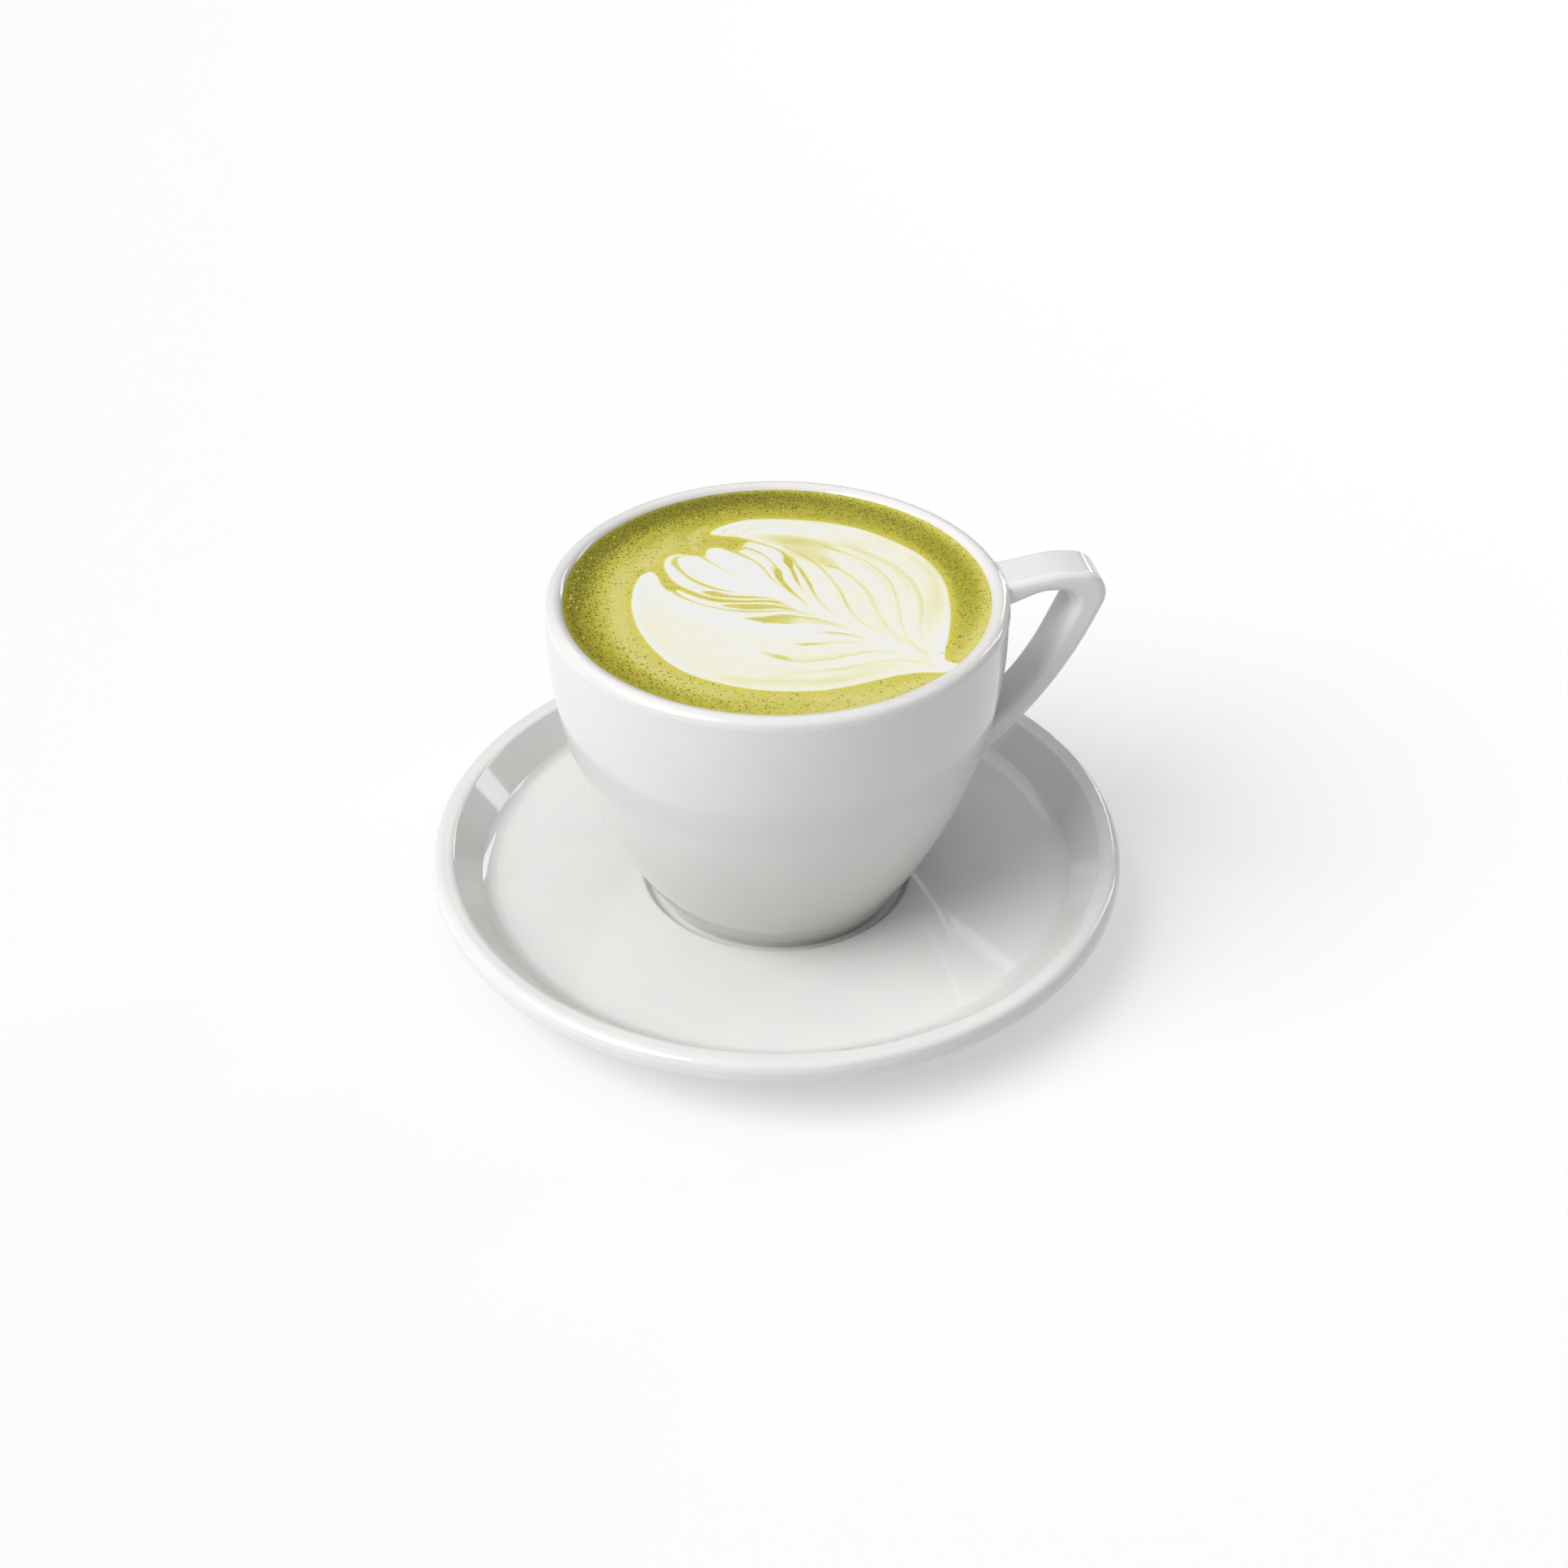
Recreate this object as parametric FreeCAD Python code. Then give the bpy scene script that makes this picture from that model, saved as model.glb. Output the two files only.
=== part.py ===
import FreeCAD, Part
import math
import os

# A foamed green tea latte in a porcelain cup with one angular handle, standing in
# the well of its saucer. Millimetres, +Z up, handle towards +X. The origin is the
# middle of the saucer's foot, on the axis that cup and saucer share.

# ---- cup ----
cup_height = 73.5          # foot to brim
rim_radius = 48.1          # widest outside radius, just under the brim
foot_radius = 26.84        # outside radius of the standing foot
flare_angle = 29.1         # straight flare above the foot, degrees from upright
flare_height = 12.0        # height of that straight flare
cup_wall = 4.4             # thickness of the wall
rim_outer_round = 2.1      # outside rounding of the brim
cup_floor = 6.0            # foot plane to the inside floor
cavity_corner = 14.0       # rounding between inside floor and wall
foot_ring_width = 4.0      # standing ring under the cup
foot_ring_depth = 1.6      # hollow inside that ring
foot_edge_round = 0.8      # glaze-softened edges of the foot

# ---- handle ----
# heights below are measured down from the brim, reaches outwards from it
handle_width = 11.6        # across the ribbon, along Y
handle_root_drop = 0.9     # top of the arm where it leaves the wall
handle_crest_out = 11.5    # crest of the top arm
handle_rise = 1.1          # crest above the brim
handle_crest_round = 20.0
handle_nose_out = 23.8     # outer corner, before rounding
handle_nose_drop = 0.4
handle_nose_round = 5.8
handle_bow_out = 12.7      # bend of the lower arm's outside, before rounding
handle_bow_drop = 26.5
handle_bow_round = 90.0
handle_foot_drop = 53.0    # lower root's underside, inside the wall
handle_top_thick = 4.2     # ribbon thickness along the top arm
handle_back_thick = 5.8    # ribbon thickness down the lower arm
handle_throat_round = 3.4  # inside rounding of the upper corner
handle_top_flare = 1.6     # extra depth where the top arm meets the wall
handle_foot_span = 12.5    # height of wall that the lower root covers
handle_edge_round = 1.8    # rounding along the ribbon's four long edges
handle_bury = 1.9          # how far both roots run into the wall
handle_root_round = 1.2    # glaze-filled corner where ribbon and wall meet

# ---- drink ----
drink_below_rim = 0.9      # level below the brim
drink_gap = 0.05           # clearance to the inside wall and floor

# ---- saucer ----
saucer_radius = 76.0       # outside of the lip
saucer_height = 17.2       # base to the top of the lip
lip_width = 4.3            # across the rounded lip
lip_face = 5.0             # height of the lip's outer face
lip_under = 3.6            # how far the wall stands in from the lip's outside
wall_run = 7.5             # horizontal run of the inside wall
saucer_foot_radius = 42.0  # outside of the standing ring
saucer_foot_width = 5.0
saucer_foot_height = 3.0
saucer_hollow = 2.6        # underside of the middle above the table
well_floor = 6.0           # the plane that the cup stands on
well_depth = 1.9           # floor's inner edge above that plane
well_gap = 1.9             # clearance round the cup's foot
well_slope = 1.3           # run of the well's sloping side
floor_rise = 1.5           # rise of the floor from the well to the wall
saucer_wall = 4.2          # thickness under floor and wall
corner_round = 4.5         # rounding between floor and wall


def corner_reach(before, here, after):
    """Length of run that a corner's rounding takes up, and the angle between its runs."""
    to_before = unit(here, before)
    to_after = unit(here, after)
    dot = to_before[0] * to_after[0] + to_before[1] * to_after[1]
    opening = math.acos(max(-1.0, min(1.0, dot)))
    return here[2] / math.tan(opening / 2.0), opening


def fitted_radii(corners):
    """Each corner's radius, made smaller where two roundings would meet on one run."""
    count = len(corners)
    reaches = []
    for i in range(count):
        reach, _ = corner_reach(corners[i - 1], corners[i], corners[(i + 1) % count])
        reaches.append(reach)
    share = [1.0] * count
    for i in range(count):
        nxt = (i + 1) % count
        both = reaches[i] + reaches[nxt]
        room = math.dist(corners[i][:2], corners[nxt][:2])
        if both > room:
            share[i] = min(share[i], room / both)
            share[nxt] = min(share[nxt], room / both)
    return [corner[2] * part for corner, part in zip(corners, share)]


def runs_and_arcs(corners):
    """Edges of a closed outline: straight runs joined by tangent arcs.

    Each corner is (across, up, radius); a radius of 0 leaves it sharp.
    """
    count = len(corners)
    radii = fitted_radii(corners)
    starts = []
    ends = []
    arcs = []
    for i in range(count):
        before = corners[i - 1]
        here = (corners[i][0], corners[i][1], radii[i])
        after = corners[(i + 1) % count]
        if here[2] <= 0.0:
            starts.append(here[:2])
            ends.append(here[:2])
            arcs.append(None)
            continue
        reach, opening = corner_reach(before, here, after)
        to_before = unit(here, before)
        to_after = unit(here, after)
        half = unit((0.0, 0.0), (to_before[0] + to_after[0], to_before[1] + to_after[1]))
        out = here[2] / math.sin(opening / 2.0) - here[2]
        starts.append((here[0] + to_before[0] * reach, here[1] + to_before[1] * reach))
        ends.append((here[0] + to_after[0] * reach, here[1] + to_after[1] * reach))
        arcs.append((here[0] + half[0] * out, here[1] + half[1] * out))
    edges = []
    for i in range(count):
        if arcs[i] is not None:
            edges.append(arc_edge(starts[i], arcs[i], ends[i]))
        nxt = (i + 1) % count
        if math.dist(ends[i], starts[nxt]) > 1e-6:
            edges.append(line_edge(ends[i], starts[nxt]))
    return edges


def unit(a, b):
    """Direction from a to b in the plane."""
    across = b[0] - a[0]
    up = b[1] - a[1]
    length = math.hypot(across, up)
    return (across / length, up / length)


def in_xz(point):
    return FreeCAD.Vector(point[0], 0.0, point[1])


def line_edge(a, b):
    return Part.LineSegment(in_xz(a), in_xz(b)).toShape()


def arc_edge(a, middle, b):
    return Part.Arc(in_xz(a), in_xz(middle), in_xz(b)).toShape()


def face_of(edges):
    return Part.Face(Part.Wire(Part.__sortEdges__(edges)))


def turned(edges):
    """Solid of revolution about Z from an outline in the XZ plane."""
    solid = face_of(edges).revolve(FreeCAD.Vector(0, 0, 0), FreeCAD.Vector(0, 0, 1), 360)
    return solid.Solids[0] if solid.ShapeType != "Solid" else solid


def belly_corner():
    """Where the flare's line meets the upright line under the brim, with the arc's radius."""
    turn = math.radians(flare_angle)
    height = (rim_radius - foot_radius) / math.tan(turn)
    lower = (height - flare_height) / math.cos(turn)
    upper = cup_height - rim_outer_round - height
    reach = min(lower, upper)
    return height, reach / math.tan(turn / 2.0)


def wall_radius(height):
    """Outside radius of the cup at a height above its foot."""
    turn = math.radians(flare_angle)
    corner, bend = belly_corner()
    reach = bend * math.tan(turn / 2.0)
    begin = corner - reach * math.cos(turn)
    end = corner + reach
    if height <= begin:
        return foot_radius + height * math.tan(turn)
    if height >= end:
        return rim_radius
    return rim_radius - bend + math.sqrt(bend ** 2 - (end - height) ** 2)


def inside_corners(gap):
    """Inside floor corner and belly corner of the cavity, drawn in by a gap."""
    turn = math.radians(flare_angle)
    skin = cup_wall + gap
    corner, bend = belly_corner()
    upright = rim_radius - skin
    # the flare's line, moved square to itself by the wall
    foot_cross = foot_radius - skin / math.cos(turn)
    floor = cup_floor + gap
    floor_corner = (foot_cross + floor * math.tan(turn), floor)
    inner_corner = (upright, (upright - foot_cross) / math.tan(turn))
    return floor_corner, inner_corner, bend - skin


def cavity_outline(gap, top):
    """Outline of the space inside the cup up to a height, drawn in by a gap."""
    floor_corner, inner_corner, bend = inside_corners(gap)
    round_in = cup_wall - rim_outer_round
    round_height = cup_height - round_in
    middle = rim_radius - rim_outer_round
    side_top = min(top, round_height)
    corners = [
        (0.0, floor_corner[1], 0.0),
        (floor_corner[0], floor_corner[1], cavity_corner),
        (inner_corner[0], inner_corner[1], bend),
        (inner_corner[0], side_top, 0.0),
    ]
    if top <= round_height:
        corners.append((0.0, top, 0.0))
        return runs_and_arcs(corners)
    corners.append((0.0, side_top, 0.0))
    edges = runs_and_arcs(corners)
    # the closing runs give way to the flare over the brim's rounding
    edges = edges[:-2]
    radius = round_in + gap
    lift = math.asin(min(1.0, (top - round_height) / radius))
    half = lift / 2.0
    start = (inner_corner[0], round_height)
    mid = (middle - radius * math.cos(half), round_height + radius * math.sin(half))
    end = (middle - radius * math.cos(lift), top)
    edges.append(arc_edge(start, mid, end))
    edges.append(line_edge(end, (0.0, top)))
    edges.append(line_edge((0.0, top), (0.0, floor_corner[1])))
    return edges


def cup_outline():
    """Wall, brim, floor and foot ring of the cup as one closed outline."""
    corner, bend = belly_corner()
    floor_corner, inner_corner, inner_bend = inside_corners(0.0)
    ring_in = foot_radius - foot_ring_width
    rim_inner_round = cup_wall - rim_outer_round
    corners = [
        (0.0, foot_ring_depth, 0.0),
        (ring_in - foot_ring_depth, foot_ring_depth, foot_edge_round),
        (ring_in, 0.0, foot_edge_round),
        (foot_radius, 0.0, foot_edge_round),
        (rim_radius, corner, bend),
        (rim_radius, cup_height, rim_outer_round),
        (rim_radius - cup_wall, cup_height, rim_inner_round),
        (inner_corner[0], inner_corner[1], inner_bend),
        (floor_corner[0], floor_corner[1], cavity_corner),
        (0.0, floor_corner[1], 0.0),
    ]
    return runs_and_arcs(corners)


def crossing(a, along_a, b, along_b):
    """Point where two lines in the plane meet."""
    cross = along_a[0] * along_b[1] - along_a[1] * along_b[0]
    step = ((b[0] - a[0]) * along_b[1] - (b[1] - a[1]) * along_b[0]) / cross
    return (a[0] + along_a[0] * step, a[1] + along_a[1] * step)


def shifted(point, along, distance):
    """A point moved square to a direction, to its right."""
    return (point[0] + along[1] * distance, point[1] - along[0] * distance)


def handle_outline():
    """The handle's ribbon seen from the side, its ends inside the wall."""
    root = rim_radius - handle_bury
    top_root = (root, cup_height - handle_root_drop)
    crest = (rim_radius + handle_crest_out, cup_height + handle_rise)
    nose = (rim_radius + handle_nose_out, cup_height - handle_nose_drop)
    bow = (rim_radius + handle_bow_out, cup_height - handle_bow_drop)
    low = cup_height - handle_foot_drop
    low_end = (wall_radius(low) - handle_bury, low)
    high = low + handle_foot_span
    high_end = (wall_radius(high) - handle_bury, high)
    # the inside of the ribbon runs parallel, in by its thickness
    over = unit(crest, nose)
    back = unit(nose, bow)
    arm_line = shifted(crest, over, handle_top_thick)
    back_line = shifted(nose, back, handle_back_thick)
    throat = crossing(arm_line, over, back_line, back)
    inner_bow = crossing(back_line, back, high_end, unit(bow, low_end))
    under = (crest[0] - handle_top_thick, crest[1] - handle_top_thick)
    under_root = (root, top_root[1] - handle_top_thick - handle_top_flare)
    return [
        (top_root[0], top_root[1], 0.0),
        (crest[0], crest[1], handle_crest_round),
        (nose[0], nose[1], handle_nose_round),
        (bow[0], bow[1], handle_bow_round),
        (low_end[0], low_end[1], 0.0),
        (high_end[0], high_end[1], 0.0),
        (inner_bow[0], inner_bow[1], handle_bow_round * 0.6),
        (throat[0], throat[1], handle_throat_round),
        (under[0], under[1], 10.0),
        (under_root[0], under_root[1], 0.0),
    ]


def make_handle():
    face = face_of(runs_and_arcs(handle_outline()))
    face.translate(FreeCAD.Vector(0, -handle_width / 2.0, 0))
    solid = face.extrude(FreeCAD.Vector(0, handle_width, 0))
    ends = []
    for edge in solid.Edges:
        if not lies_in_side(edge):
            continue
        if is_root_edge(edge):
            continue
        ends.append(edge)
    return solid.makeFillet(handle_edge_round, ends)


def lies_in_side(edge):
    """True for an edge that lies in one of the ribbon's two flat sides."""
    sides = [abs(abs(v.Point.y) - handle_width / 2.0) < 1e-6 for v in edge.Vertexes]
    same = abs(edge.Vertexes[0].Point.y - edge.Vertexes[-1].Point.y) < 1e-6
    return all(sides) and same


def is_root_edge(edge):
    """True for an end edge buried in the wall."""
    reach = [wall_radius(v.Point.z) - v.Point.x for v in edge.Vertexes]
    return all(abs(r - handle_bury) < 1.2 for r in reach)


def at_steps(edge, steps):
    """Points spread evenly along an edge."""
    span = edge.LastParameter - edge.FirstParameter
    return [edge.valueAt(edge.FirstParameter + span * i / steps) for i in range(steps + 1)]


def is_root_seam(edge):
    """True for an edge where the handle's ribbon leaves the cup's outside."""
    points = at_steps(edge, 4)
    if all(abs(p.y) < 1e-6 for p in points):
        return False
    if any(abs(p.y) > handle_width / 2.0 + 1e-3 for p in points):
        return False
    if any(p.x < 0.0 or p.x > rim_radius for p in points):
        return False
    below = [p for p in points if p.z < cup_height - rim_outer_round]
    off = [abs(math.hypot(p.x, p.y) - wall_radius(p.z)) for p in below]
    return all(d < 1e-3 for d in off)


def make_cup():
    body = turned(cup_outline())
    whole = body.fuse(make_handle()).removeSplitter().Solids[0]
    seams = [edge for edge in whole.Edges if is_root_seam(edge)]
    whole = whole.makeFillet(handle_root_round, seams)
    whole.translate(FreeCAD.Vector(0, 0, well_floor))
    return whole.Solids[0]


def make_drink():
    level = cup_height - drink_below_rim
    drink = turned(cavity_outline(drink_gap, level))
    drink.translate(FreeCAD.Vector(0, 0, well_floor))
    return drink


def saucer_outline():
    """Foot ring, well, floor, wall and rounded lip of the saucer."""
    well_radius = foot_radius + well_gap
    floor_in = well_floor + well_depth
    floor_out = floor_in + floor_rise
    lip_in = saucer_radius - lip_width
    wall_foot = lip_in - wall_run
    rise = unit((wall_foot, floor_out), (lip_in, saucer_height))
    foot_in = saucer_foot_radius - saucer_foot_width
    lip_low = saucer_height - lip_face
    under = (saucer_radius - lip_under, lip_low - 0.8)
    below = (wall_foot + saucer_wall * rise[1] + 1.0, floor_out - saucer_wall)
    corners = [
        (0.0, saucer_hollow, 0.0),
        (foot_in - 1.0, saucer_hollow, 1.0),
        (foot_in, 0.0, 0.8),
        (saucer_foot_radius, 0.0, 0.8),
        (saucer_foot_radius + 1.2, saucer_foot_height, 1.2),
        (below[0], below[1], 8.0),
        (under[0], under[1], 1.5),
        (saucer_radius, lip_low, 2.0),
        (saucer_radius, saucer_height, lip_width / 2.0 - 0.02),
        (lip_in, saucer_height, lip_width / 2.0 - 0.4),
        (wall_foot, floor_out, corner_round),
        (well_radius + well_slope, floor_in, 0.9),
        (well_radius, well_floor, 1.0),
        (0.0, well_floor, 0.0),
    ]
    return runs_and_arcs(corners)


def make_saucer():
    return turned(saucer_outline())


def main():
    os.makedirs("parts", exist_ok=True)
    nodes = {
        "cup": make_cup(),
        "drink": make_drink(),
        "saucer": make_saucer(),
    }
    for name, shape in nodes.items():
        box = shape.BoundBox
        print(name, shape.ShapeType, "valid", shape.isValid(), "solids", len(shape.Solids),
              "cm3 %.1f" % (shape.Volume / 1000.0),
              "z %.2f..%.2f x %.2f..%.2f" % (box.ZMin, box.ZMax, box.XMin, box.XMax))
        shape.exportStep("parts/%s.step" % name)


main()
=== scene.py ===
"""Matcha latte with a poured rosetta, in its glazed porcelain cup on its saucer."""

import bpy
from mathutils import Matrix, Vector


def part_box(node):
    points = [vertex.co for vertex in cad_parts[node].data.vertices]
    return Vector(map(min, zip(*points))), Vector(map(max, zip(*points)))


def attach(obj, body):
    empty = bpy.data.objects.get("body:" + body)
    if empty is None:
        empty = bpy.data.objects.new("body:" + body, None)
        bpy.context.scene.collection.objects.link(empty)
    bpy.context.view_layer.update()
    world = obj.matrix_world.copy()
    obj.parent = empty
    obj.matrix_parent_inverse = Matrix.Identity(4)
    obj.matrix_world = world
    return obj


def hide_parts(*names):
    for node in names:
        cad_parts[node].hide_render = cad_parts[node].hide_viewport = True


bl_info = {
    "name": "Matcha latte",
    "version": (1, 0, 0),
    "blender": (4, 5, 0),
    "location": "View3D > Sidebar > Matcha latte",
    "description": "Glazes the cup and saucer, pours the drink with its rosetta and sets the stage",
    "category": "Object",
}

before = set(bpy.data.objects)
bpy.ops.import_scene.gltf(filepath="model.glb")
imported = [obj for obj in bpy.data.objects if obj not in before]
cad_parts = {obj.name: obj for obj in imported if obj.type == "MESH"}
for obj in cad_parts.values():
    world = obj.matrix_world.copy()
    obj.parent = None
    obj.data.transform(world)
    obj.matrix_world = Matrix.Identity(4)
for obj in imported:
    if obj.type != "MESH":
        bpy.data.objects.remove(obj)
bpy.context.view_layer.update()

import math

import bpy
import numpy as np
from mathutils import Matrix, Vector

MM = 0.001
TINY = 1e-12          # a squared length too small to count, in mm2


def linear(colour):
    """An sRGB hex colour as the linear red, green, blue and alpha that nodes take."""
    parts = [int(colour[i:i + 2], 16) / 255 for i in (1, 3, 5)]
    curve = [p / 12.92 if p <= 0.04045 else ((p + 0.055) / 1.055) ** 2.4 for p in parts]
    return (*curve, 1.0)


def colour_setting(name, description, default):
    """A colour that a user may change."""
    return bpy.props.FloatVectorProperty(
        name=name, description=description, subtype="COLOR", size=3,
        min=0, max=1, default=linear(default)[:3])


def size_setting(name, description, default, **limits):
    """A length in millimetres that a user may change."""
    return bpy.props.FloatProperty(name=name, description=description, default=default, **limits)


def factor_setting(name, description, default):
    """A share from 0 to 1 that a user may change."""
    return bpy.props.FloatProperty(
        name=name, description=description, default=default, min=0, max=1, subtype="FACTOR")


def light_setting(name, description, default):
    """A light's strength that a user may change."""
    return bpy.props.FloatProperty(name=name, description=description, default=default, min=0)


def angle_setting(name, description, degrees):
    """An angle that a user may change."""
    return bpy.props.FloatProperty(
        name=name, description=description, default=math.radians(degrees),
        subtype="ANGLE", unit="ROTATION")


# ---------------------------------------------------------------- settings

class LattePorcelain(bpy.types.PropertyGroup):
    """Sizes and colours of the glazed porcelain."""

    glaze: colour_setting("Glaze", "Colour of the white glaze over the body", "#DCDBD9")
    pooled: colour_setting("Pooled glaze", "Colour where the glaze lies thicker", "#D7D6D5")
    biscuit: colour_setting("Biscuit", "Colour of the bare fired body on the feet", "#E6E0D6")
    gloss: factor_setting("Glaze roughness", "Roughness of the glaze", 0.07)
    wave: size_setting("Glaze wave", "Length of the glaze's soft waves, in mm", 9.0, min=1)


class LatteDrink(bpy.types.PropertyGroup):
    """Sizes and colours of the poured drink."""

    pale: colour_setting("Pale matcha", "Colour of the driest matcha foam", "#CDC679")
    matcha: colour_setting("Matcha", "Colour of the matcha foam", "#C2BB58")
    shade: colour_setting("Dark matcha", "Colour of the foam towards the wall", "#A8A236")
    # Darkest stop, reached at the left and back wall: partly deeper wet matcha, partly painted
    # shade of the brim.
    soaked_and_shaded: colour_setting("Wet matcha", "Colour of the wet foam at the wall", "#79741E")
    bright: colour_setting("Bright matcha", "Colour of the foam beside the milk", "#C9C04E")
    tinted: colour_setting("Tinted milk", "Colour of milk with much matcha in it", "#CFC97C")
    cream: colour_setting("Cream", "Colour of milk with some matcha in it", "#DBD7AA")
    ivory: colour_setting("Ivory", "Colour of milk with a little matcha in it", "#E3E1CC")
    milk: colour_setting("Milk", "Colour of the clean milk foam", "#E0E0DF")
    # Dark inside the open bubbles: partly painted shade in the holes, partly the darker matcha
    # under them.
    pit_shade: colour_setting("Open bubble", "Colour inside an open bubble", "#4A4812")
    film: colour_setting("Bubble film", "Colour of a standing bubble's film", "#8D8930")
    thin_film: colour_setting("Thin film", "Colour where the film is thin", "#B5AF52")
    pitch: size_setting("Mesh pitch", "Spacing of the surface's points, in mm", 0.30, min=0.1)
    meniscus: size_setting("Meniscus", "How far the drink climbs the wall, in mm", 0.35, min=0)
    art_turn: angle_setting("Pattern turn", "Turn of the rosetta in the cup", -10.0)


class LatteStage(bpy.types.PropertyGroup):
    """Lights, floor and camera."""

    floor: colour_setting("Floor", "Colour of the floor", "#B8B8B8")
    glow: light_setting("Floor glow", "Light that comes up through the floor", 0.40)
    sky: light_setting("Sky", "Strength of the even light from all round", 0.05)
    key: light_setting("Key light", "Strength of the soft light from the left", 2.7)
    key_spread: angle_setting("Key spread", "How wide the key light's soft disc is", 44.0)
    back: light_setting("Top light", "Strength of the wide light from above and behind", 1.55)
    back_spread: angle_setting("Top spread", "How wide the top light's soft disc is", 100.0)
    window: light_setting("Window", "Power of the tall windows at the right, in W", 1.25)
    lens: size_setting("Lens", "Focal length of the camera, in mm", 51.52, min=10)
    azimuth: angle_setting("Azimuth", "Where the camera stands round the cup", -10.0)


SETTINGS = {"latte_porcelain": LattePorcelain, "latte_drink": LatteDrink, "latte_stage": LatteStage}


# ---------------------------------------------------------------- helpers

def add_node(tree, kind, inputs=None, stops=(), **settings):
    """Add one node.

    Its settings are its properties, its inputs are values or the outputs to link, and its
    stops are a colour ramp's places from 0 to 1 with their colours.
    """
    new = tree.nodes.new(kind)
    for name, value in settings.items():
        setattr(new, name, value)
    for socket, value in (inputs or {}).items():
        if isinstance(value, bpy.types.NodeSocket):
            tree.links.new(value, new.inputs[socket])
        else:
            new.inputs[socket].default_value = value
    if stops:
        elements = new.color_ramp.elements
        while len(elements) < len(stops):
            elements.new(0.5)
        for element, (place, colour) in zip(elements, stops):
            element.position = place
            element.color = (*colour, 1.0)
    return new


def new_material(name):
    """An empty node material with its output and its shader."""
    material = bpy.data.materials.new(name)
    material.use_nodes = True
    tree = material.node_tree
    tree.nodes.clear()
    shader = add_node(tree, "ShaderNodeBsdfPrincipled")
    add_node(tree, "ShaderNodeOutputMaterial", {"Surface": shader.outputs["BSDF"]})
    return material, tree, shader


def new_piece(name, vertices, faces, material):
    """A smooth mesh object from its points and faces."""
    mesh = bpy.data.meshes.new(name)
    mesh.from_pydata(vertices, [], faces)
    mesh.materials.append(material)
    mesh.polygons.foreach_set("use_smooth", [True] * len(mesh.polygons))
    mesh.update()
    piece = bpy.data.objects.new(name, mesh)
    bpy.context.scene.collection.objects.link(piece)
    return piece


def smooth_step(low, high, value):
    """0 below low, 1 above high, and an even curve between them."""
    share = np.clip((value - low) / (high - low), 0, 1)
    return share * share * (3 - 2 * share)


def spline(points, steps=8, closed=False):
    """A smooth line through its points, whatever number of values each point holds."""
    points = np.array(points, float)
    if closed:
        padded = np.vstack([points[-1], points, points[:2]])
    else:
        padded = np.vstack([2 * points[0] - points[1], points, 2 * points[-1] - points[-2]])
    line = []
    for before, start, end, after in zip(padded, padded[1:], padded[2:], padded[3:]):
        for t in np.arange(steps) / steps:
            line.append(0.5 * (2 * start + (end - before) * t
                               + (2 * before - 5 * start + 4 * end - after) * t * t
                               + (3 * start - before - 3 * end + after) * t ** 3))
    if not closed:
        line.append(points[-1])
    return np.array(line)


def nearest_on(line, spots):
    """Distance of each spot to a line, the line's other values there, and the side it is on."""
    best = np.full(len(spots), np.inf)
    side = np.zeros(len(spots))
    values = np.zeros((len(spots), line.shape[1] - 2))
    for start, end in zip(line, line[1:]):
        run = end[:2] - start[:2]
        length = float(run @ run)
        if length < TINY:
            continue
        off = spots - start[:2]
        share = np.clip(off @ run / length, 0, 1)
        gap = off - share[:, None] * run
        distance = np.einsum("ij,ij->i", gap, gap)
        near = distance < best
        best[near] = distance[near]
        side[near] = np.sign(run[0] * off[near, 1] - run[1] * off[near, 0])
        values[near] = start[2:] + share[near, None] * (end[2:] - start[2:])
    return np.sqrt(best), values, side


def inside(outline, spots):
    """Whether each spot is inside a closed outline."""
    x, y = spots[:, 0], spots[:, 1]
    result = np.zeros(len(spots), bool)
    for (x0, y0), (x1, y1) in zip(outline, np.roll(outline, -1, axis=0)):
        if y0 == y1:
            continue
        crosses = ((y0 > y) != (y1 > y)) & (x < (x1 - x0) * (y - y0) / (y1 - y0) + x0)
        result ^= crosses
    return result


# ---------------------------------------------------------------- the rosetta, in mm

# The outlines of the milk foam where it meets the matcha.
FRONT_LOBE = (
    (-26.8, 9.3), (-28.4, 7.8), (-29.4, 5.0), (-29.9, 1.0), (-29.9, -4.0), (-29.2, -8.5),
    (-28.1, -12.8), (-26.3, -17.3), (-24.0, -21.6), (-21.2, -25.6), (-17.8, -28.9),
    (-13.5, -31.6), (-8.5, -33.7), (-3.0, -35.0), (3.0, -35.4), (9.0, -35.0), (14.0, -33.6),
    (19.0, -31.6), (24.0, -29.6), (28.5, -28.7), (33.0, -28.9), (36.5, -29.2), (37.5, -27.0),
    (33.0, -24.0), (26.0, -19.0), (18.0, -13.0), (11.0, -7.0), (5.0, -3.0), (0.0, -2.4),
    (-6.0, -2.6), (-11.5, -2.7), (-15.0, -1.5), (-18.0, 0.4), (-19.6, 1.8), (-20.6, 2.0),
    (-21.4, 1.4), (-22.6, 1.9), (-23.8, 3.7), (-24.6, 6.2), (-25.5, 8.5))
BACK_LOBE = (
    (-14.4, 25.0), (-13.7, 26.8), (-11.8, 28.6), (-9.0, 30.3), (-5.5, 31.4), (0.0, 31.7),
    (5.0, 31.3), (10.0, 30.4), (15.0, 28.8), (19.0, 26.8), (23.0, 23.9), (27.0, 20.3),
    (30.5, 16.2), (33.2, 11.0), (34.8, 5.5), (35.4, 0.0), (35.4, -6.0), (34.9, -12.0),
    (34.2, -17.0), (33.4, -21.0), (33.3, -24.0), (34.6, -26.2), (36.8, -26.9), (36.5, -28.5),
    (30.0, -24.0), (20.0, -16.0), (10.0, -8.0), (4.0, -2.0), (3.0, 4.0), (1.5, 10.0),
    (0.5, 15.0), (-2.0, 19.6), (-5.0, 21.9), (-8.5, 23.4), (-12.0, 24.2))
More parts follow.
